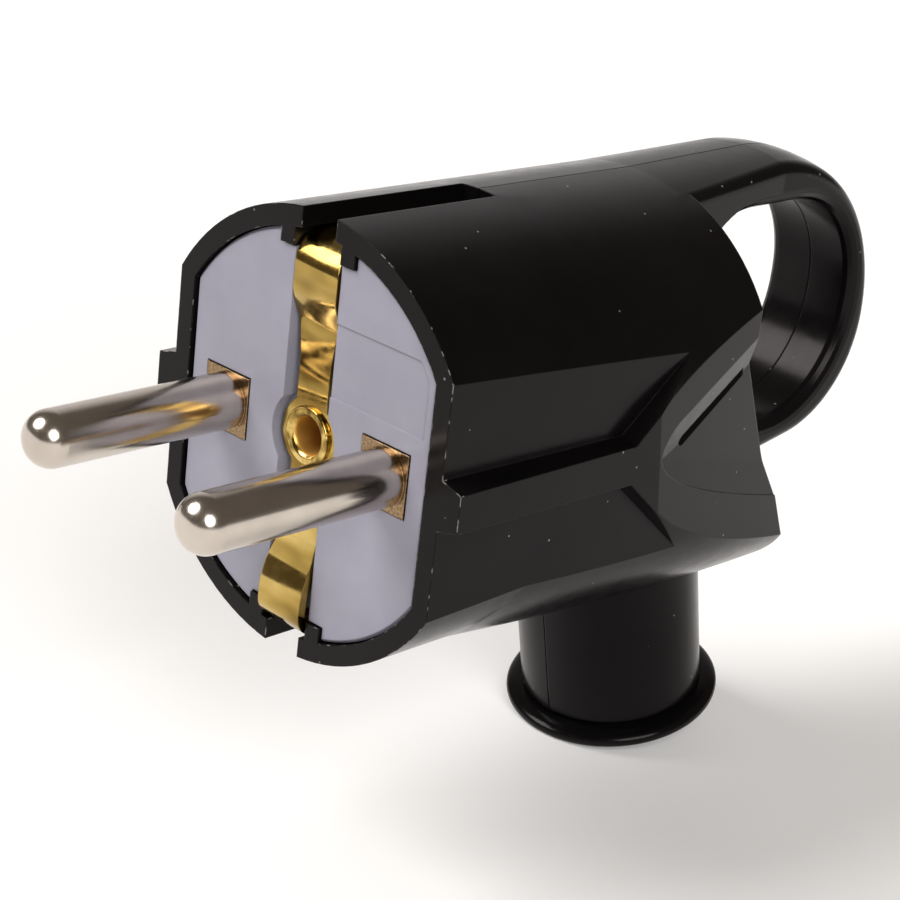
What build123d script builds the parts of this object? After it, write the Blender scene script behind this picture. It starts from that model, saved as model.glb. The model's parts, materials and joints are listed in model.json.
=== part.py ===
from build123d import *
import os
from math import cos, radians, sin, sqrt, tan

# Angled earthed two-pin plug with a pull ring. All sizes are in millimetres.
# The origin is the middle of the contact face. The pins point along -Y, the cable tube points down,
# and the two half shells meet on the plane X = 0.

# Pins
pin_spacing = 19.0
pin_dia = 4.8
pin_length = 19.6
pin_tip_round = 2.1
pin_collar = 5.3
pin_shoulder = 7.4
pin_shoulder_depth = 2.0
pin_bar_length = 9.5
pin_screw_back = 3.6

# Clearances
fit = 0.1
parting_gap = 0.1

# Barrel of the housing, with flat-floored guide pockets and a rib on each side
barrel_r = 18.85
rear_trim = 0.35
rib_face_x = 18.2
wall = 1.75
flat_x = 16.1
flat_tilt = 1.3
rib_half = 2.1
pocket_end = 20.0
pocket_slant = 49.5
pocket_draft = 14.0

# Lower body, which swells towards the cable tube
belly_start = 6.0
belly_mid = 21.0
belly_full = 35.0
belly_end = 56.0
belly_mid_drop = 1.4
belly_full_drop = 2.15
belly_end_drop = 2.1

# Rear end: square above the knee, leaning back below it
rear_y = 37.7
rear_knee_z = 5.0
rear_lean = 27.5
rear_wall = 2.2

# Finger scoop in each side of the rear end: a slanting flat, and a recess inside a rounded ridge.
# Each face of the recess is given by a point on an edge line (Y, Z), the line's climb,
# the depth there below the flat, and how fast the face deepens below that line.
scoop_flat_y = 21.5
scoop_flat_slope = 0.162
scoop_flat_twist = -0.025
ridge_tip_y = 23.75
ridge_tip_z = -0.1
ridge_upper_bend_z = 3.67
ridge_upper_end = (45.7, 10.08)
ridge_lower_bend_z = -3.99
ridge_lower_end = (53.56, -11.26)
scoop_depth = 0.83
upper_face = (25.12, 2.09, 0.461, 0.08, 0.24)
lower_face = (27.25, -0.19, -0.299, scoop_depth, -0.08)
lip_face = (26.5, -1.91, -0.28, 0.5, -0.3)
groove_start = (27.9, 0.25)
groove_end = (36.8, 4.35)
groove_start_r = 0.55
groove_end_r = 0.42
groove_lift = 0.15

# Pull ring
ring_root_half = 6.84
ring_half = 5.2
ring_edge_round = 1.3
ring_inner_round = 1.3
ring_mouth_steps = 4
ring_lift = 0.4
ring_upper_r = 17.3
ring_lower_r = 11.9
ring_rear_y = 69.6
ring_foot_fall = 10.0
ring_stock = 7.0
ring_foot_y = 42.0
hole_front_y = 38.6
ring_strap = 3.6
hole_top_z = 14.4
hole_low_z = -7.4
hole_corner_r = 10.6

# Earth notches at the top and bottom of the contact face
notch_half = 2.0
notch_length = 17.5
notch_channel_half = 2.7
notch_flange = 1.6
notch_flange_drop = 1.8

# Cable tube, leaning back, and its bush
tube_r = 8.65
tube_wall = 1.63
tube_lean = 14.0
tube_setback = 5.1
tube_axis_z = -28.0
tube_below = 4.85
tube_above = 16.0
bush_sleeve = 11.0
bush_collar = 0.7
bush_collar_width = 2.0
bush_collar_inset = 3.0
bush_neck_r = 7.9
bush_neck = 0.55
bush_flange_r = 10.2
bush_flange = 1.4
bush_crown_r = 8.2
bush_lip_under = 0.65
cable_dia = 9.0

# Contact carrier
face_inset = 0.3
plate_depth = 5.2
plate_edge = 0.25
groove_front = 2.2
groove_width = 1.6
groove_depth = 1.2
channel_half = 2.7
pad_well_r = 3.75
panel_low = 4.35
panel_top = 10.45
panel_margin = 0.9
panel_depth = 0.12
separator = 1.2
separator_half = 9.0
tongue_thick = 2.75

# Earth strip, rivet and terminal
strip_thick = 0.8
strip_inset = 0.95
strip_flush = 0.1
strip_bulge = 0.75
strip_width = 5.0
strip_waist = 3.6
strip_pad_r = 3.2
strip_shoulder_drop = 5.55
strip_tail = 15.6
strip_tail_gap = 0.35
strip_bend = 1.5
strip_top_bend = 2.4
strip_bulge_bend = 7.0
ramp_top_drop = (7.25, 4.85)
ramp_low_drop = (7.95, 3.95)
rivet_bore = 3.1
rivet_dia = 3.9
rivet_head_dia = 5.0
rivet_head = 0.35
rivet_flare = 0.55
rivet_rim_round = 0.2
terminal_thick = 1.0
terminal_below = 4.2
terminal_above = 11.4
earth_screw_z = 7.2
earth_screw_dia = 3.8
earth_screw_length = 3.8
earth_head_dia = 6.6
earth_head = 2.4
washer_thick = 0.9
earth_washer_size = 7.2
pin_washer_size = 5.0
pin_screw_dia = 3.0
pin_screw_length = 4.4
pin_head_dia = 4.8
pin_head = 2.0

# Screws that join the half shells, and the cord clamp
screw_dia = 3.0
screw_head_dia = 6.0
screw_head = 2.4
screw_seat_x = 7.5
screw_seat_thick = 1.6
screw_reach = 8.6
screw_hole_spare = 0.6
screw_play = 0.2
head_play = 0.4
boss_r = 3.3
sleeve_wall = 1.2
upper_boss = (28.5, 12.0)
lower_boss = (20.8, -12.4)
clamp_y = 27.6
clamp_gap = 1.0
clamp_spacing = 15.0
clamp_width = 5.6
clamp_thick = 3.6
clamp_end = 2.7
clamp_arch = 1.2
clamp_screw_dia = 2.8
clamp_head_dia = 4.8
clamp_head = 2.0
clamp_screw_depth = 8.0
clamp_post_r = 2.7

# Cross recess in the screw heads, and the thread's hold in its hole
recess_share = 0.6
recess_width = 0.9
recess_depth = 1.1
thread_play = 0.05

# Sizes that follow from those above
rear_r = barrel_r - rear_trim
inner_r = barrel_r - wall
inner_flat = flat_x - wall
carrier_r = inner_r - fit
carrier_flat = inner_flat - fit
plate_back = face_inset + plate_depth
channel_floor = strip_inset + strip_thick
pin_x = pin_spacing / 2
shoulder_back = plate_back + pin_shoulder_depth
bar_end = shoulder_back + pin_bar_length
pin_screw_y = bar_end - pin_screw_back
flange_outer = notch_channel_half + notch_flange
notch_flange_in = inner_r - notch_flange_drop
separator_outer = pin_x - pin_shoulder / 2 - 2 * fit
separator_inner = separator_outer - separator
terminal_half = separator_inner - 2 * fit
terminal_back = plate_back + terminal_thick
earth_seat = terminal_back + washer_thick
strip_tail_z = inner_r - strip_tail_gap
tail_inner_z = strip_tail_z - strip_thick
tongue_in = tail_inner_z - tongue_thick
tongue_front = strip_flush + strip_thick / 2 + strip_top_bend
strip_shoulder_z = strip_tail_z - strip_shoulder_drop
tube_bore_r = tube_r - tube_wall
tube_axis_y = rear_y + tube_setback
tube_origin = Vector(0, tube_axis_y, tube_axis_z)
tube_down = Vector(0, sin(radians(tube_lean)), -cos(radians(tube_lean)))
rear_slope = tan(radians(rear_lean))
ring_turn_y = ring_rear_y - ring_upper_r
hole_rear_y = ring_rear_y - ring_strap
boss_places = (upper_boss, lower_boss)
clamp_z = clamp_spacing / 2 + clamp_end + clamp_gap - inner_r
clamp_places = (clamp_z - clamp_spacing / 2, clamp_z + clamp_spacing / 2)
seam = parting_gap / 2
far = 100.0


def block(x0, x1, y0, y1, z0, z1):
    """Box between two corners."""
    size = (x1 - x0, y1 - y0, z1 - z0)
    return Pos((x0 + x1) / 2, (y0 + y1) / 2, (z0 + z1) / 2) * Box(*size)


def face_at(y):
    """Plane across the plug at a distance behind the contact face, drawn in X and Z."""
    return Plane(origin=(0, y, 0), x_dir=(1, 0, 0), z_dir=(0, -1, 0))


def along_y(face, y0, y1):
    """Prism of a face drawn in X and Z."""
    return extrude(face_at(y0) * face, amount=y0 - y1)


def along_x(face, x0, x1):
    """Prism of a face drawn in Y and Z."""
    return extrude(Plane.YZ.offset(x0) * face, amount=x1 - x0)


def rod_y(radius, y0, y1, x=0.0, z=0.0):
    """Round bar along Y."""
    return along_y(Pos(x, z) * Circle(radius), y0, y1)


def rod_x(radius, x0, x1, y, z):
    """Round bar along X."""
    return along_x(Pos(y, z) * Circle(radius), x0, x1)


def both_sides(shape):
    """A shape and its mirror image across the parting plane."""
    return shape + mirror(shape, about=Plane.YZ)


def top_and_bottom(shape):
    """A shape and its mirror image across the middle height."""
    return shape + mirror(shape, about=Plane.XY)


def flat_sided(radius, half, y0, y1):
    """Round bar along Y with a flat on each side."""
    return rod_y(radius, y0, y1) & block(-half, half, y0, y1, -far, far)


def screw(head_dia, head, shank_dia, shank):
    """Screw with a cross recess: seat on the plane Z = 0, shank pointing down."""
    part = Cylinder(head_dia / 2, head, align=(Align.CENTER, Align.CENTER, Align.MIN))
    part += Cylinder(shank_dia / 2, shank, align=(Align.CENTER, Align.CENTER, Align.MAX))
    arm = Pos(0, 0, head) * Box(head_dia * recess_share, recess_width, 2 * recess_depth)
    return part - arm - Rot(0, 0, 90) * arm


def rear_space(inset):
    """All that lies behind the rear end, drawn in by an inset."""
    knee_y = rear_y - inset
    low_y = knee_y + (rear_knee_z + far) * rear_slope
    corners = ((knee_y, far), (knee_y, rear_knee_z), (low_y, -far), (2 * far, -far), (2 * far, far))
    return along_x(Polygon(*corners, align=None), -far, far)


def tube_rod(radius, start, end):
    """Round bar on the cable tube's axis; distances run down from the axis point."""
    plane = Plane(origin=tube_origin + tube_down * start, x_dir=(1, 0, 0), z_dir=tube_down)
    return extrude(plane * Circle(radius), amount=end - start)


def tube_turned(face):
    """Body turned about the cable tube's axis from a face drawn in radius and distance down the axis."""
    side = Vector(1, 0, 0)
    plane = Plane(origin=tube_origin, x_dir=side, z_dir=side.cross(tube_down))
    return revolve(plane * face, axis=Axis(tube_origin, tube_down))


def scoop_point(y, z, depth):
    """Point at a depth below the scoop's slanting flat on the +X side."""
    return Vector(rear_r - scoop_flat_slope * (y - scoop_flat_y) - depth, y, z)


def outside_face(y, z, climb=0.0, depth=0.0, rate=0.0):
    """All that lies outside a plane face of the scoop on the +X side."""
    normal = (1, scoop_flat_slope + rate * climb, -rate)
    face = Plane(origin=scoop_point(y, z, depth), z_dir=normal)
    return extrude(face * Rectangle(2 * far, 2 * far), amount=far)


def ridge_outline():
    """Outline of the ridge round the scoop's recess, seen from the side."""
    tip = (ridge_tip_y, ridge_tip_z)
    upper = Bezier(tip, (ridge_tip_y, ridge_upper_bend_z), ridge_upper_end)
    lower = Bezier(tip, (ridge_tip_y, ridge_lower_bend_z), ridge_lower_end)
    return make_face(upper + lower + Line(ridge_upper_end, ridge_lower_end))


def scoop_groove():
    """Tapering groove along the foot of the recess's upper face."""
    start = scoop_point(*groove_start, scoop_depth - groove_lift)
    end = scoop_point(*groove_end, scoop_depth - groove_lift)
    first = Plane(origin=start, z_dir=end - start)
    last = Plane(origin=end, z_dir=end - start)
    taper = loft([first * Circle(groove_start_r), last * Circle(groove_end_r)])
    return taper + Pos(start) * Sphere(groove_start_r)


def scoop_cutter():
    """Finger scoop on the +X side."""
    recess = along_x(ridge_outline(), 0, far) & outside_face(ridge_tip_y, ridge_tip_z, depth=scoop_depth)
    for face in (upper_face, lower_face, lip_face):
        recess &= outside_face(*face)
    return recess + outside_face(scoop_flat_y, 0, rate=scoop_flat_twist) + scoop_groove()


def pocket_cutter():
    """Upper guide pocket on the +X side, with a flat floor and a slanting rear wall."""
    tilt = radians(flat_tilt)
    floor = Plane(origin=(flat_x, 0, 0), x_dir=(sin(tilt), cos(tilt), 0), z_dir=(cos(tilt), -sin(tilt), 0))
    top_end = pocket_end + (barrel_r - rib_half) * tan(radians(pocket_slant))
    corners = ((-wall, rib_half), (pocket_end, rib_half), (top_end, barrel_r), (-wall, barrel_r))
    outline = Polygon(*corners, align=None)
    return extrude(floor * outline, amount=barrel_r - flat_x + wall, taper=-pocket_draft)


def barrel():
    """Barrel that narrows a little towards the rear."""
    end_y = belly_end - wall
    end_r = barrel_r - rear_trim * end_y / rear_y
    cone = Cone(barrel_r, end_r, end_y, align=(Align.CENTER, Align.CENTER, Align.MIN))
    return Plane(origin=(0, 0, 0), x_dir=(1, 0, 0), z_dir=(0, 1, 0)) * cone


def belly():
    """Lower body that swells downwards round the cable tube."""
    stations = (
        (belly_start, 0.0, rear_r),
        (belly_mid, belly_mid_drop, rear_r),
        (belly_full, belly_full_drop, rear_r),
        (belly_end, belly_end_drop, rear_r),
    )
    rings = []
    for y, drop, radius in stations:
        rings.append(Pos(0, 0, -drop) * (face_at(y) * Circle(radius)))
    return loft(rings)


def strap_section(half):
    """Cross-section of the pull ring's strap, crowned like the barrel and hanging below its top line."""
    crown = rear_r - sqrt(rear_r**2 - half**2)
    crest = ThreePointArc((-half, -crown), (0, 0), (half, -crown))
    sides = Polyline((half, -crown), (half, -ring_stock), (-half, -ring_stock), (-half, -crown))
    strap = make_face(crest + sides)
    return fillet(strap.vertices().sort_by(Axis.Y)[-2:], ring_edge_round)


def hole_face(grow):
    """Outline of the hole in the pull ring, let out by an amount."""
    width = hole_rear_y - hole_front_y + 2 * grow
    height = hole_top_z - hole_low_z + 2 * grow
    centre = Pos((hole_front_y + hole_rear_y) / 2, (hole_top_z + hole_low_z) / 2)
    return centre * RectangleRounded(width, height, hole_corner_r + grow)


def ring_hole():
    """Oval hole through the pull ring, with rounded mouths."""
    mouth = []
    for k in range(ring_mouth_steps + 1):
        turn = radians(90 * k / ring_mouth_steps)
        x = ring_half - ring_inner_round * (1 - sin(turn))
        mouth.append(Plane.YZ.offset(x) * hole_face(ring_inner_round * (1 - cos(turn))))
    flare = loft(mouth, ruled=True) + along_x(hole_face(ring_inner_round), ring_half, far)
    return along_x(hole_face(0), -far, far) + both_sides(flare)


def pull_ring():
    """Finger ring: a strap that runs on from the barrel's top and turns down to the rear end."""
    top_z = rear_r + ring_lift
    fall = radians(ring_foot_fall)
    turn = Vector(ring_turn_y, top_z - ring_upper_r)
    low_turn = turn + Vector(ring_upper_r - ring_lower_r, 0)
    low = low_turn + Vector(sin(fall), -cos(fall)) * ring_lower_r
    route = CenterArc(turn, ring_upper_r, 90, -90)
    route += CenterArc(low_turn, ring_lower_r, 0, ring_foot_fall - 90)
    route += Line(low, (ring_foot_y, low.Y - (low.X - ring_foot_y) * tan(fall)))

    root = Pos(0, 0, rear_r) * (face_at(rear_y - wall) * strap_section(ring_root_half))
    bend = Pos(0, 0, top_z) * (face_at(ring_turn_y) * strap_section(ring_half))
    ring = loft([root, bend]) + sweep(bend, path=Plane.YZ * route)
    return ring - ring_hole()


def housing_form():
    """Outer form of the closed housing."""
    form = (barrel() + belly()) & block(-rib_face_x, rib_face_x, -far, far, -far, far)
    form -= rear_space(0)
    pockets = top_and_bottom(pocket_cutter())
    form -= both_sides(pockets)
    form -= both_sides(scoop_cutter())
    form += pull_ring()
    form += tube_rod(tube_r, -tube_above, tube_below) - rear_space(0)
    return form


def cavity():
    """Space inside the closed housing."""
    mid_y = upper_boss[0]
    rear_half = inner_flat - rear_wall
    space = flat_sided(inner_r, inner_flat, -wall, mid_y) + flat_sided(inner_r, rear_half, -wall, belly_end)
    space += tube_rod(tube_bore_r, -tube_above, tube_below + wall)
    collar_end = tube_below - bush_collar_inset + fit
    collar_start = collar_end - bush_collar_width - fit
    space += tube_rod(tube_bore_r + bush_collar + fit, collar_start, collar_end)
    return space - rear_space(rear_wall)


def shell_core(inset):
    """Solid barrel drawn in from the outside, to trim the features that grow from the wall."""
    return flat_sided(barrel_r - inset, flat_x - inset, 0, rear_y - inset)


def half_shell():
    """Half of the housing's wall on the +X side, with the notch, the carrier's rib and the pin stop."""
    shell = housing_form() - cavity()
    shell -= top_and_bottom(block(-notch_half, notch_half, -wall, notch_length, inner_r - wall, far))
    grown = top_and_bottom(block(notch_channel_half, flange_outer, 0, notch_length, notch_flange_in, far))
    rib_back = groove_front + groove_width - fit
    rib = shell_core(wall / 2) & block(flange_outer, far, groove_front, rib_back, -far, far)
    grown += rib - flat_sided(carrier_r - groove_depth + fit, carrier_flat - groove_depth + fit, 0, rear_y)
    stop_x = pin_x + (pin_collar + pin_shoulder) / 4
    stop_y = shoulder_back + fit
    grown += block(stop_x, far, stop_y, stop_y + wall, -pin_shoulder / 2, pin_shoulder / 2)
    shell += grown & shell_core(wall / 2)
    return shell & block(seam, far, -far, far, -far, far)


def right_bosses():
    """Bosses in the +X half that take the housing screws' threads."""
    bosses = Part()
    holes = Part()
    for y, z in boss_places:
        bosses += rod_x(boss_r, 0, far, y, z)
        holes += rod_x(screw_dia / 2 + thread_play, -wall, screw_reach + screw_hole_spare, y, z)
    return bosses & shell_core(wall / 2), holes


def left_bosses():
    """Bosses and sunk seats in the -X half for the housing screws, and the posts for the cord clamp."""
    bosses = Part()
    holes = Part()
    inner = screw_seat_thick - screw_seat_x
    head_r = screw_head_dia / 2 + head_play
    for y, z in boss_places:
        bosses += rod_x(boss_r, inner, 0, y, z) + rod_x(head_r + sleeve_wall, -far, inner, y, z)
        shank = rod_x(screw_dia / 2 + screw_play, -far, wall, y, z)
        holes += shank + rod_x(head_r, -far, -screw_seat_x, y, z)
    for z in clamp_places:
        bosses += rod_x(clamp_post_r, -far, -seam, clamp_y, z)
        holes += rod_x(clamp_screw_dia / 2 + thread_play, -clamp_screw_depth - wall, 0, clamp_y, z)
    return bosses & shell_core(wall / 2), holes


def contact_carrier():
    """Plate that holds the pins and the earth strip, with two partitions behind it."""
    plate = flat_sided(carrier_r, carrier_flat, face_inset, plate_back)
    plate = chamfer(plate.edges().group_by(Axis.Y)[0], plate_edge)
    groove = flat_sided(far, far, groove_front, groove_front + groove_width)
    plate -= groove - flat_sided(carrier_r - groove_depth, carrier_flat - groove_depth, 0, plate_back)
    corner = flange_outer + fit
    plate -= top_and_bottom(block(-corner, corner, 0, plate_back, notch_flange_in - fit, far))
    plate -= block(-channel_half, channel_half, 0, channel_floor, -far, far)
    plate -= rod_y(pad_well_r, 0, channel_floor)
    hole_half = pin_collar / 2 + fit
    plate -= both_sides(block(pin_x - hole_half, pin_x + hole_half, 0, plate_back, -hole_half, hole_half))
    plate -= rod_y(rivet_dia / 2 + fit, 0, plate_back)
    tip = earth_seat - earth_screw_length - 2 * fit
    plate -= rod_y(earth_screw_dia / 2 + 2 * fit, tip, plate_back, 0, earth_screw_z)
    panel_end = carrier_flat - panel_margin
    panel = Pos(panel_end / 2, (panel_low + panel_top) / 2) * Rectangle(panel_end, panel_top - panel_low)
    plate -= along_y(panel & Circle(carrier_r - panel_margin), 0, face_inset + panel_depth)
    wings = block(separator_inner, separator_outer, plate_back, bar_end, -separator_half, separator_half)
    tongues = top_and_bottom(
        block(-strip_width / 2, strip_width / 2, tongue_front, strip_tail, tongue_in, tail_inner_z)
    )
    return plate + both_sides(wings) + tongues


def pin(x):
    """Contact pin with its square collar, shoulder and screw terminal."""
    tip = -pin_length
    bar_half = pin_collar / 2
    shoulder_half = pin_shoulder / 2
    part = rod_y(pin_dia / 2, tip, face_inset)
    part = fillet(part.edges().sort_by(Axis.Y)[0], pin_tip_round)
    part += block(-bar_half, bar_half, face_inset - fit, bar_end, -bar_half, bar_half)
    part += block(-shoulder_half, shoulder_half, plate_back, shoulder_back, -shoulder_half, shoulder_half)
    hole = Pos(0, pin_screw_y, 0) * Cylinder(pin_screw_dia / 2 + thread_play, 2 * pin_collar)
    return Pos(x, 0, 0) * (part - hole)


def earth_strip():
    """Sprung earth contact: one bent strip across the face, with its tails turned back along the notches."""
    mid_tail = strip_tail_z - strip_thick / 2
    mid_flush = strip_flush + strip_thick / 2
    mid_inset = strip_inset + strip_thick / 2
    mid_bulge = strip_thick / 2 - strip_bulge
    route = FilletPolyline(
        (strip_tail, mid_tail),
        (mid_flush, mid_tail),
        (mid_flush, strip_tail_z - ramp_top_drop[1]),
        (mid_inset, strip_tail_z - ramp_top_drop[0]),
        (mid_inset, ramp_low_drop[0] - strip_tail_z),
        (mid_bulge, ramp_low_drop[1] - strip_tail_z),
        (mid_bulge, -mid_tail),
        (strip_tail, -mid_tail),
        radius=(strip_top_bend, strip_bend, strip_bend, strip_bend, strip_bulge_bend, strip_bend),
    )
    start = Plane(origin=(0, strip_tail, mid_tail), x_dir=(1, 0, 0), z_dir=(0, -1, 0))
    strip = sweep(start * Rectangle(2 * strip_pad_r, strip_thick), path=Plane.YZ * route)
    end_half = strip_width / 2
    waist_half = strip_waist / 2
    waist_z = strip_shoulder_z - strip_width
    outline = Polygon(
        (-end_half, far),
        (-end_half, strip_shoulder_z),
        (-waist_half, waist_z),
        (-waist_half, -waist_z),
        (-end_half, -strip_shoulder_z),
        (-end_half, -far),
        (end_half, -far),
        (end_half, -strip_shoulder_z),
        (waist_half, -waist_z),
        (waist_half, waist_z),
        (end_half, strip_shoulder_z),
        (end_half, far),
        align=None,
    )
    strip &= along_y(outline + Circle(strip_pad_r), -far, far)
    return strip - rod_y(rivet_dia / 2 + fit, -far, plate_back)


def earth_rivet():
    """Tubular rivet with a flared mouth, through the strip, the plate and the earth terminal."""
    head_r = rivet_head_dia / 2
    part = rod_y(rivet_dia / 2, strip_inset - rivet_head, terminal_back + rivet_head)
    part += rod_y(head_r, strip_inset - rivet_head, strip_inset)
    part += rod_y(head_r, terminal_back, terminal_back + rivet_head)
    part -= rod_y(rivet_bore / 2, -far, far)
    rims = part.edges().filter_by(GeomType.CIRCLE).group_by(Axis.Y)[0].sort_by(SortBy.RADIUS)
    part = fillet(rims[0], rivet_flare)
    rims = part.edges().filter_by(GeomType.CIRCLE).group_by(Axis.Y)[0].sort_by(SortBy.RADIUS)
    return fillet(rims[-1], rivet_rim_round)


def earth_terminal():
    """Plate behind the carrier that takes the earth wire's screw."""
    part = block(-terminal_half, terminal_half, plate_back, terminal_back, -terminal_below, terminal_above)
    part -= rod_y(rivet_dia / 2 + fit, 0, far)
    return part - rod_y(earth_screw_dia / 2 + thread_play, 0, far, 0, earth_screw_z)


def earth_washer():
    """Square washer under the earth screw's head."""
    half = earth_washer_size / 2
    low = earth_screw_z - half
    part = block(-half, half, terminal_back, earth_seat, low, low + earth_washer_size)
    return part - rod_y(earth_screw_dia / 2 + fit, 0, far, 0, earth_screw_z)


def earth_terminal_screw():
    """Screw that holds the earth wire."""
    seat = Plane(origin=(0, earth_seat, earth_screw_z), x_dir=(1, 0, 0), z_dir=(0, 1, 0))
    return seat * screw(earth_head_dia, earth_head, earth_screw_dia, earth_screw_length)


def pin_washers():
    """Square washers on the pins' terminals."""
    half = pin_washer_size / 2
    low = pin_collar / 2
    part = block(pin_x - half, pin_x + half, pin_screw_y - half, pin_screw_y + half, low, low + washer_thick)
    part -= Pos(pin_x, pin_screw_y, low) * Cylinder(pin_screw_dia / 2 + fit, 2 * pin_collar)
    return both_sides(part)


def pin_terminal_screws():
    """Screws that hold the live wires on the pins."""
    seat_z = pin_collar / 2 + washer_thick
    part = screw(pin_head_dia, pin_head, pin_screw_dia, pin_screw_length)
    return Pos(pin_x, pin_screw_y, seat_z) * part + Pos(-pin_x, pin_screw_y, seat_z) * part


def housing_screws():
    """Screws that pull the two half shells together."""
    screws = Part()
    for y, z in boss_places:
        seat = Plane(origin=(-screw_seat_x, y, z), x_dir=(0, 1, 0), z_dir=(-1, 0, 0))
        screws += seat * screw(screw_head_dia, screw_head, screw_dia, screw_seat_x + screw_reach)
    return screws


def cord_clamp():
    """Bar that presses the cord against the shell."""
    half = clamp_spacing / 2 + clamp_end
    bar = Pos(clamp_y, clamp_z) * RectangleRounded(clamp_width, 2 * half, clamp_width / 2 - fit)
    part = along_x(bar, -seam, -seam + clamp_thick)
    reach = clamp_spacing / 2 - clamp_post_r
    arch_r = (reach**2 + clamp_arch**2) / (2 * clamp_arch)
    arch = Plane.XZ.offset(-clamp_y) * (Pos(-seam + clamp_arch - arch_r, clamp_z) * Circle(arch_r))
    part -= extrude(arch, amount=clamp_width, both=True)
    for z in clamp_places:
        part -= rod_x(clamp_screw_dia / 2 + fit, -far, far, clamp_y, z)
    return part


def cord_clamp_screws():
    """Screws of the cord clamp."""
    screws = Part()
    for z in clamp_places:
        seat = Plane(origin=(clamp_thick - seam, clamp_y, z), x_dir=(0, 1, 0), z_dir=(1, 0, 0))
        screws += seat * screw(clamp_head_dia, clamp_head, clamp_screw_dia, clamp_thick + clamp_screw_depth)
    return screws


def cable_bush():
    """Bush in the tube's mouth: a sleeve with a retaining collar, and a crowned flange outside."""
    flange_top = tube_below + bush_neck
    flange_end = flange_top + bush_flange
    rim = flange_end - bush_lip_under
    crown = Bezier((bush_crown_r, flange_top), (bush_flange_r, flange_top), (bush_flange_r, rim))
    lip_r = bush_flange_r - bush_lip_under
    under = Bezier((bush_flange_r, rim), (bush_flange_r, flange_end), (lip_r, flange_end))
    under += Polyline((lip_r, flange_end), (0, flange_end), (0, flange_top), (bush_crown_r, flange_top))
    part = tube_turned(make_face(crown + under))
    part += tube_rod(bush_neck_r, tube_below, flange_top)
    part += tube_rod(tube_bore_r - fit, tube_below - bush_sleeve, flange_top)
    collar_end = tube_below - bush_collar_inset
    part += tube_rod(tube_bore_r + bush_collar, collar_end - bush_collar_width, collar_end)
    return part - tube_rod(cable_dia / 2 + fit, -far, far)


# Build every node and write it out
os.makedirs("parts", exist_ok=True)
shell = half_shell()
right_grown, right_holes = right_bosses()
left_grown, left_holes = left_bosses()
nodes = {
    "housing_right": shell + right_grown - right_holes,
    "housing_left": mirror(shell, about=Plane.YZ) + left_grown - left_holes,
    "contact_carrier": contact_carrier(),
    "pin_right": pin(pin_x),
    "pin_left": pin(-pin_x),
    "earth_strip": earth_strip(),
    "earth_rivet": earth_rivet(),
    "earth_terminal": earth_terminal(),
    "earth_washer": earth_washer(),
    "earth_terminal_screw": earth_terminal_screw(),
    "pin_washers": pin_washers(),
    "pin_terminal_screws": pin_terminal_screws(),
    "housing_screws": housing_screws(),
    "cord_clamp": cord_clamp(),
    "cord_clamp_screws": cord_clamp_screws(),
    "cable_bush": cable_bush(),
}
for name, shape in nodes.items():
    export_step(shape, "parts/" + name + ".step")
    print(name, shape.is_valid, len(shape.solids()), round(shape.volume, 1))
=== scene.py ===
import json
from math import radians

import bpy
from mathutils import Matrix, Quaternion, Vector


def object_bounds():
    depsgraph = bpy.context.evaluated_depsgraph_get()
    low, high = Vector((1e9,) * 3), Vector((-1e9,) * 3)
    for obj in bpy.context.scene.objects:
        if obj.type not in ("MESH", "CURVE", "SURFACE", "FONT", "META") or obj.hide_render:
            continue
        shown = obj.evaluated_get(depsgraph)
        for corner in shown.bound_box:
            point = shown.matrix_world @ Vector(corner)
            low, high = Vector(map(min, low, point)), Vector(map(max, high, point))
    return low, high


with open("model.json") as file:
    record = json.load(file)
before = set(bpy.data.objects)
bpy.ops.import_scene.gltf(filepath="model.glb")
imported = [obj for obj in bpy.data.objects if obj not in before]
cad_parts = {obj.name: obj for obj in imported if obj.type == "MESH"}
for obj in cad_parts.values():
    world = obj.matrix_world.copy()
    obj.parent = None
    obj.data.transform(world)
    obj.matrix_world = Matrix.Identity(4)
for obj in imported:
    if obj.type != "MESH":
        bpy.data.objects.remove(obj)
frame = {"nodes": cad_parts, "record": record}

cad_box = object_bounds()

MM = 0.001

# Camera, fitted to the photograph
EYE = Vector((132.656, -124.427, 70.798)) * MM
AIM = Vector((-0.954, 18.698, -5.120)) * MM
LENS_MM = 97.268
SENSOR_MM = 36.0
CAMERA_ROLL = radians(6.613)
NEAR_LIMIT = 0.01

# Lamps: two large round softboxes, placed where the pins' tips show them
KEY_FROM = Vector((-0.47, -0.55, 0.69))
KEY_STRENGTH = 2.5
SIDE_FROM = Vector((0.74, -0.42, 0.53))
SIDE_STRENGTH = 1.9
LAMP_SPREAD = radians(36)
LAMP_COLOUR = (1.0, 0.975, 0.955)

# Room round the table: dim and brownish, with a pale backdrop low behind the plug and a white horizon
ROOM_COLOUR = (0.135, 0.116, 0.098)
BACKDROP_COLOUR = (0.74, 0.71, 0.70)
BACKDROP_AT = (-0.66, 0.74, 0.12)
BACKDROP_EDGE = (0.70, 0.95)
HORIZON_COLOUR = (1.0, 1.0, 1.0)
HORIZON_EDGE = (0.025, 0.055)

# Floor
FLOOR_RADIUS = 6.0
FLOOR_SIDES = 96
FLOOR_COLOUR = (0.93, 0.93, 0.93)
FLOOR_GLOW = 0.14

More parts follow.
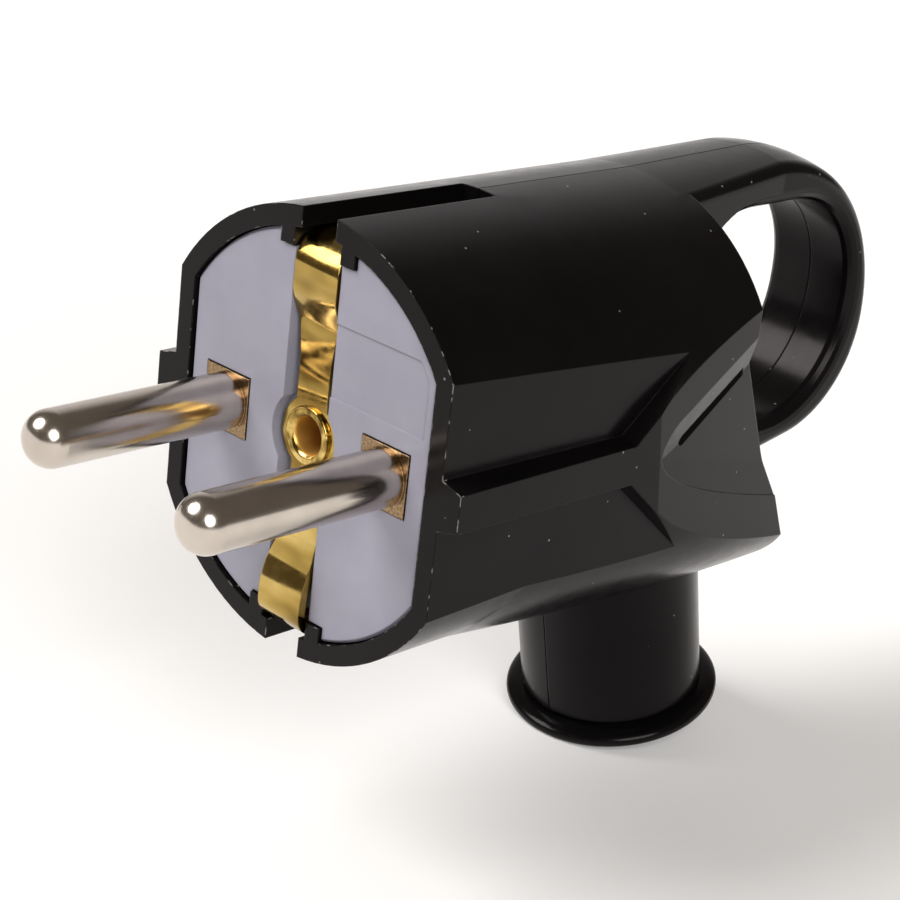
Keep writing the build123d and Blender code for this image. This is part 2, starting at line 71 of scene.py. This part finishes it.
# Black plastic, its dust, and light flecks on the front rim's edge that fade out along Y: partly chipped
# wear, partly painted glints
BLACK_TONES = ((0.3, (0.0030, 0.0027, 0.0028)), (0.7, (0.0048, 0.0044, 0.0045)))
BLACK_SHEEN = (1.0, 0.90, 0.925)
BLACK_IOR = 1.23
DUST_COLOUR = (0.19, 0.18, 0.175)
DUST_SPACING_MM = 2.2
DUST_SIZE_MM = 0.24
CHIP_AND_GLINT_COLOUR = (0.34, 0.33, 0.32)
CHIP_AND_GLINT_SIZE_MM = 1.1
CHIP_AND_GLINT_EDGE = (0.55, 0.60)
RIM_FROM_MM = 0.5
RIM_TO_MM = 0.8

# Lavender grey plastic
GREY_TONES = ((0.3, (0.262, 0.261, 0.325)), (0.7, (0.292, 0.291, 0.356)))
GREY_IOR = 1.5

# Nickel on the pins, which gives way to bare bronze along Y at the collar
NICKEL_TONES = ((0.3, (0.56, 0.50, 0.44)), (0.7, (0.64, 0.58, 0.515)))
BRONZE_TONES = ((0.35, (0.16, 0.10, 0.05)), (0.65, (0.40, 0.28, 0.16)))
COLLAR_FROM_MM = -0.35
COLLAR_TO_MM = 0.1
ALONG_PIN = (1.0, 0.04, 1.0)

# Brass, from its toned patches to where it is rubbed bright, with patterns drawn out across the strip;
# these dark and bright bands are partly tarnish and rubbing, and partly painted reflections
BRASS_TONES_AND_REFLECTIONS = ((0.36, (0.15, 0.09, 0.018)), (0.50, (0.44, 0.30, 0.08)), (0.64, (0.74, 0.54, 0.19)))
TONE_AND_REFLECTION_BANDS_ACROSS = (0.4, 1.0, 1.0)
WAVED_ACROSS = (0.3, 1.0, 1.0)

# Rivet, whose bright flare gives way to the drawn wall of its bore at this distance from the axis
BORE_COLOUR = (0.80, 0.50, 0.13)
BORE_FROM_MM = 1.52
BORE_TO_MM = 1.72
FROM_AXIS = (1.0, 0.0, 1.0)

# Zinc plate on the screws
ZINC_TONES = ((0.3, (0.52, 0.51, 0.49)), (0.7, (0.66, 0.65, 0.63)))


# Node helpers

def new_material(name):
    """Empty material with one shader, ready for its textures."""
    material = bpy.data.materials.new(name)
    material.use_nodes = True
    tree = material.node_tree
    tree.nodes.clear()
    shader = tree.nodes.new("ShaderNodeBsdfPrincipled")
    output = tree.nodes.new("ShaderNodeOutputMaterial")
    tree.links.new(shader.outputs["BSDF"], output.inputs["Surface"])
    return material, tree, shader


def object_space(tree, scale=(1.0, 1.0, 1.0), raised_mm=0.0):
    """Place on the object in metres, scaled and raised; a scale under 1 draws patterns out."""
    place = tree.nodes.new("ShaderNodeTexCoord")
    mapping = tree.nodes.new("ShaderNodeMapping")
    mapping.inputs["Scale"].default_value = scale
    mapping.inputs["Location"].default_value = (0.0, 0.0, raised_mm * MM)
    tree.links.new(place.outputs["Object"], mapping.inputs["Vector"])
    return mapping.outputs["Vector"]


def noise(tree, place, size_mm, detail=3.0, roughness=0.55):
    """Cloudy pattern whose patches have the given size."""
    node = tree.nodes.new("ShaderNodeTexNoise")
    node.inputs["Scale"].default_value = 1.0 / (size_mm * MM)
    node.inputs["Detail"].default_value = detail
    node.inputs["Roughness"].default_value = roughness
    tree.links.new(place, node.inputs["Vector"])
    return node.outputs["Fac"]


def colours(tree, factor, stops):
    """Colour ramp through (position, colour) stops."""
    node = tree.nodes.new("ShaderNodeValToRGB")
    ramp = node.color_ramp
    while len(ramp.elements) < len(stops):
        ramp.elements.new(0.5)
    for element, (position, colour) in zip(ramp.elements, stops):
        element.position = position
        element.color = (*colour, 1.0)
    tree.links.new(factor, node.inputs["Fac"])
    return node.outputs["Color"]


def level(tree, factor, first, last, start=0.3, end=0.7):
    """Number that runs from first to last while the factor runs from start to end."""
    node = tree.nodes.new("ShaderNodeMapRange")
    node.inputs["From Min"].default_value = start
    node.inputs["From Max"].default_value = end
    node.inputs["To Min"].default_value = first
    node.inputs["To Max"].default_value = last
    tree.links.new(factor, node.inputs["Value"])
    return node.outputs["Result"]


def mixed(tree, factor, first, second):
    """Colour that goes from the first to the second by a factor; either can be a plain colour."""
    node = tree.nodes.new("ShaderNodeMix")
    node.data_type = "RGBA"
    tree.links.new(factor, node.inputs["Factor"])
    for socket, value in ((node.inputs["A"], first), (node.inputs["B"], second)):
        if isinstance(value, tuple):
            socket.default_value = (*value, 1.0)
        else:
            tree.links.new(value, socket)
    return node.outputs["Result"]


def combined(tree, operation, first, second):
    """Two factors joined by a math operation, such as MULTIPLY or MAXIMUM."""
    node = tree.nodes.new("ShaderNodeMath")
    node.operation = operation
    tree.links.new(first, node.inputs[0])
    tree.links.new(second, node.inputs[1])
    return node.outputs["Value"]


def along_axis(tree, place, axis):
    """One coordinate of a place."""
    node = tree.nodes.new("ShaderNodeSeparateXYZ")
    tree.links.new(place, node.inputs["Vector"])
    return node.outputs[axis]


def soft_edges(tree, radius_mm, samples=6):
    """Normal that rounds sharp edges over a small radius."""
    node = tree.nodes.new("ShaderNodeBevel")
    node.samples = samples
    node.inputs["Radius"].default_value = radius_mm * MM
    return node.outputs["Normal"]


def sharp_edges(tree, rounded, sharp=0.85, flat=0.98):
    """Factor that is 1 on sharp edges, by the cosine between the rounded normal and the face's own."""
    face = tree.nodes.new("ShaderNodeNewGeometry")
    node = tree.nodes.new("ShaderNodeVectorMath")
    node.operation = "DOT_PRODUCT"
    tree.links.new(face.outputs["Normal"], node.inputs[0])
    tree.links.new(rounded, node.inputs[1])
    return level(tree, node.outputs["Value"], 1.0, 0.0, start=sharp, end=flat)


def bumped(tree, height, depth_mm, strength, normal):
    """Normal that follows a height pattern on top of another normal."""
    node = tree.nodes.new("ShaderNodeBump")
    node.inputs["Strength"].default_value = strength
    node.inputs["Distance"].default_value = depth_mm * MM
    tree.links.new(height, node.inputs["Height"])
    tree.links.new(normal, node.inputs["Normal"])
    return node.outputs["Normal"]


def specks(tree, place, spacing_mm, size_mm, core=0.7):
    """Small sparse dots, such as dust, as a factor that is 1 in their core and 0 past their edge."""
    node = tree.nodes.new("ShaderNodeTexVoronoi")
    node.inputs["Scale"].default_value = 1.0 / (spacing_mm * MM)
    tree.links.new(place, node.inputs["Vector"])
    radius = size_mm / spacing_mm / 2
    return level(tree, node.outputs["Distance"], 1.0, 0.0, start=radius * core, end=radius)


# Materials

def rim_chips_and_glints(tree, place, rounded):
    """Factor that marks small light flecks on the sharp edges of the front rim: partly chips, partly
    painted glints.
    """
    rim = level(tree, along_axis(tree, place, "Y"), 1.0, 0.0, start=RIM_FROM_MM * MM, end=RIM_TO_MM * MM)
    chips_and_glints = level(tree, noise(tree, place, CHIP_AND_GLINT_SIZE_MM, detail=2.0), 0.0, 1.0, *CHIP_AND_GLINT_EDGE)
    return combined(tree, "MULTIPLY", combined(tree, "MULTIPLY", rim, chips_and_glints), sharp_edges(tree, rounded))


def black_plastic(name, dull, shine, edge_mm):
    """Moulded gloss black, a little uneven and dusty, with light flecks along the edge of the front rim
    that are partly chips and partly painted glints.
    """
    material, tree, shader = new_material(name)
    place = object_space(tree)
    cloud = noise(tree, place, size_mm=9.0)
    flow = noise(tree, place, size_mm=1.6, detail=4.0)
    grain = noise(tree, place, size_mm=0.22, detail=2.0)
    dust = specks(tree, place, DUST_SPACING_MM, DUST_SIZE_MM)
    rounded = soft_edges(tree, edge_mm)
    dusty = mixed(tree, dust, colours(tree, cloud, BLACK_TONES), DUST_COLOUR)
    # Painted glints: light grey flecks on the rim's sharp edges, which also stand for chipped wear
    chipped_and_glinting = mixed(tree, rim_chips_and_glints(tree, place, rounded), dusty, CHIP_AND_GLINT_COLOUR)
    tree.links.new(chipped_and_glinting, shader.inputs["Base Color"])
    tree.links.new(level(tree, flow, shine, dull), shader.inputs["Roughness"])
    shader.inputs["IOR"].default_value = BLACK_IOR
    shader.inputs["Specular Tint"].default_value = (*BLACK_SHEEN, 1.0)
    normal = bumped(tree, flow, depth_mm=0.012, strength=0.10, normal=rounded)
    normal = bumped(tree, grain, depth_mm=0.003, strength=0.10, normal=normal)
    tree.links.new(normal, shader.inputs["Normal"])
    return material


def satin_plastic(name):
    """Moulded lavender grey with a satin skin."""
    material, tree, shader = new_material(name)
    place = object_space(tree)
    cloud = noise(tree, place, size_mm=5.0)
    skin = noise(tree, place, size_mm=0.5, detail=4.0)
    grain = noise(tree, place, size_mm=0.12, detail=2.0)
    tree.links.new(colours(tree, cloud, GREY_TONES), shader.inputs["Base Color"])
    tree.links.new(level(tree, skin, first=0.34, last=0.46), shader.inputs["Roughness"])
    shader.inputs["IOR"].default_value = GREY_IOR
    normal = bumped(tree, cloud, depth_mm=0.05, strength=0.10, normal=soft_edges(tree, radius_mm=0.15))
    normal = bumped(tree, grain, depth_mm=0.003, strength=0.12, normal=normal)
    tree.links.new(normal, shader.inputs["Normal"])
    return material


def nickel_plate(name):
    """Bright warm nickel with faint drawing lines along the pin, and bronze on its collar."""
    material, tree, shader = new_material(name)
    place = object_space(tree)
    length = along_axis(tree, place, "Y")
    collar = level(tree, length, 0.0, 1.0, start=COLLAR_FROM_MM * MM, end=COLLAR_TO_MM * MM)
    cloud = noise(tree, place, size_mm=3.0)
    lines = noise(tree, object_space(tree, ALONG_PIN), size_mm=0.25, detail=5.0, roughness=0.65)
    plated = colours(tree, cloud, NICKEL_TONES)
    bronze = colours(tree, lines, BRONZE_TONES)
    tree.links.new(mixed(tree, collar, plated, bronze), shader.inputs["Base Color"])
    tree.links.new(level(tree, lines, first=0.15, last=0.23), shader.inputs["Roughness"])
    shader.inputs["Metallic"].default_value = 1.0
    normal = bumped(tree, lines, depth_mm=0.004, strength=0.12, normal=soft_edges(tree, radius_mm=0.12))
    tree.links.new(normal, shader.inputs["Normal"])
    return material


def rolled_brass(name):
    """Bright brass strip, pressed into slight waves across its length, with toned bands that are partly
    tarnish and partly painted reflections.
    """
    material, tree, shader = new_material(name)
    # Painted reflections: dark and bright colour bands drawn out across the strip, which also stand for
    # tarnish
    cloud = noise(tree, object_space(tree, TONE_AND_REFLECTION_BANDS_ACROSS, raised_mm=3.0), size_mm=6.0)
    waves = noise(tree, object_space(tree, WAVED_ACROSS, raised_mm=1.0), size_mm=4.2, detail=0.5)
    dents = noise(tree, object_space(tree), size_mm=0.8, detail=2.0)
    tree.links.new(colours(tree, cloud, BRASS_TONES_AND_REFLECTIONS), shader.inputs["Base Color"])
    tree.links.new(level(tree, dents, first=0.08, last=0.18), shader.inputs["Roughness"])
    shader.inputs["Metallic"].default_value = 1.0
    normal = bumped(tree, waves, depth_mm=1.3, strength=1.0, normal=soft_edges(tree, radius_mm=0.14))
    normal = bumped(tree, dents, depth_mm=0.012, strength=0.12, normal=normal)
    tree.links.new(normal, shader.inputs["Normal"])
    return material


def drawn_brass(name):
    """Hollow brass rivet: bright on its flare, duller down the drawn wall of the bore."""
    material, tree, shader = new_material(name)
    cloud = noise(tree, object_space(tree), size_mm=1.2)
    spread = tree.nodes.new("ShaderNodeVectorMath")
    spread.operation = "LENGTH"
    tree.links.new(object_space(tree, FROM_AXIS), spread.inputs[0])
    bore = level(tree, spread.outputs["Value"], 1.0, 0.0, start=BORE_FROM_MM * MM, end=BORE_TO_MM * MM)
    bright = colours(tree, cloud, BRASS_TONES_AND_REFLECTIONS)
    tree.links.new(mixed(tree, bore, bright, BORE_COLOUR), shader.inputs["Base Color"])
    rough = level(tree, bore, first=0.13, last=0.62, start=0.0, end=1.0)
    tree.links.new(rough, shader.inputs["Roughness"])
    shader.inputs["Metallic"].default_value = 1.0
    normal = bumped(tree, cloud, depth_mm=0.01, strength=0.12, normal=soft_edges(tree, radius_mm=0.10))
    tree.links.new(normal, shader.inputs["Normal"])
    return material


def zinc_steel(name):
    """Zinc-plated steel with a fine turned grain."""
    material, tree, shader = new_material(name)
    place = object_space(tree)
    cloud = noise(tree, place, size_mm=1.5)
    grain = noise(tree, place, size_mm=0.15, detail=4.0)
    tree.links.new(colours(tree, cloud, ZINC_TONES), shader.inputs["Base Color"])
    tree.links.new(level(tree, grain, first=0.22, last=0.38), shader.inputs["Roughness"])
    shader.inputs["Metallic"].default_value = 1.0
    normal = bumped(tree, grain, depth_mm=0.004, strength=0.15, normal=soft_edges(tree, radius_mm=0.10))
    tree.links.new(normal, shader.inputs["Normal"])
    return material


def dress_nodes():
    """Gives every CAD node the finish of its material slot in the record, and the rivet its own."""
    finishes = {
        "housing_black": black_plastic("housing_black_plastic", dull=0.24, shine=0.17, edge_mm=0.16),
        "bush_black": black_plastic("bush_black_plastic", dull=0.19, shine=0.12, edge_mm=0.10),
        "carrier_grey": satin_plastic("carrier_grey_plastic"),
        "pin_nickel": nickel_plate("pin_nickel_plate"),
        "earth_brass": rolled_brass("earth_brass_strip"),
        "screw_steel": zinc_steel("screw_zinc_steel"),
        "clamp_grey": satin_plastic("clamp_grey_plastic"),
    }
    special = {"earth_rivet": drawn_brass("earth_rivet_brass")}
    for subpart in frame["record"]["subparts"]:
        node = frame["nodes"][subpart["node"]]
        for slot in node.material_slots:
            slot.material = special.get(subpart["node"], finishes[subpart["material_slot"]])


# Stage

def floor_material():
    """Plain pale table top with the plug's shadow, a little brighter to the camera and in reflections."""
    material, tree, shader = new_material("pale_floor")
    shader.inputs["Base Color"].default_value = (*FLOOR_COLOUR, 1.0)
    shader.inputs["Roughness"].default_value = 0.9
    shader.inputs["Specular IOR Level"].default_value = 0.1
    shader.inputs["Emission Color"].default_value = (*FLOOR_COLOUR, 1.0)
    path = tree.nodes.new("ShaderNodeLightPath")
    seen = path.outputs["Is Camera Ray"]
    for ray in ("Is Glossy Ray", "Is Transmission Ray"):
        seen = combined(tree, "MAXIMUM", seen, path.outputs[ray])
    glow = level(tree, seen, first=0.0, last=FLOOR_GLOW, start=0.0, end=1.0)
    tree.links.new(glow, shader.inputs["Emission Strength"])
    return material


def add_floor():
    """Large round floor under the plug's lowest point."""
    lowest = (0, 0, cad_box[0][2])
    bpy.ops.mesh.primitive_circle_add(
        vertices=FLOOR_SIDES, radius=FLOOR_RADIUS, fill_type="NGON", location=lowest
    )
    floor = bpy.context.object
    floor.name = "floor"
    floor.data.materials.append(floor_material())


def add_lamp(name, direction, strength):
    """Softbox far away: a round lamp seen under a wide angle."""
    lamp = bpy.data.lights.new(name, "SUN")
    lamp.energy = strength
    lamp.angle = LAMP_SPREAD
    lamp.color = LAMP_COLOUR
    holder = bpy.data.objects.new(name, lamp)
    holder.rotation_mode = "QUATERNION"
    holder.rotation_quaternion = direction.to_track_quat("Z", "Y")
    bpy.context.scene.collection.objects.link(holder)


def add_room():
    """World light: a dim room with a pale backdrop that fades at its edges, and a white horizon."""
    world = bpy.data.worlds.new("room")
    bpy.context.scene.world = world
    world.use_nodes = True
    tree = world.node_tree
    tree.nodes.clear()
    direction = tree.nodes.new("ShaderNodeTexCoord").outputs["Generated"]
    facing = tree.nodes.new("ShaderNodeVectorMath")
    facing.operation = "DOT_PRODUCT"
    facing.inputs[1].default_value = Vector(BACKDROP_AT).normalized()
    tree.links.new(direction, facing.inputs[0])
    fade_from, fade_to = BACKDROP_EDGE
    walls = colours(tree, facing.outputs["Value"], ((fade_from, ROOM_COLOUR), (fade_to, BACKDROP_COLOUR)))
    low = level(tree, along_axis(tree, direction, "Z"), 1.0, 0.0, *HORIZON_EDGE)
    background = tree.nodes.new("ShaderNodeBackground")
    output = tree.nodes.new("ShaderNodeOutputWorld")
    tree.links.new(mixed(tree, low, walls, HORIZON_COLOUR), background.inputs["Color"])
    tree.links.new(background.outputs["Background"], output.inputs["Surface"])


def add_camera():
    """Camera at the photograph's viewing angle."""
    data = bpy.data.cameras.new("camera")
    data.lens = LENS_MM
    data.sensor_width = SENSOR_MM
    data.clip_start = NEAR_LIMIT
    camera = bpy.data.objects.new("camera", data)
    camera.location = EYE
    camera.rotation_mode = "QUATERNION"
    look = (AIM - EYE).to_track_quat("-Z", "Y")
    camera.rotation_quaternion = look @ Quaternion((0, 0, 1), CAMERA_ROLL)
    bpy.context.scene.collection.objects.link(camera)
    bpy.context.scene.camera = camera


dress_nodes()
add_floor()
add_lamp("key_softbox", KEY_FROM, KEY_STRENGTH)
add_lamp("side_softbox", SIDE_FROM, SIDE_STRENGTH)
add_room()
add_camera()
bpy.context.scene.view_settings.view_transform = "Standard"
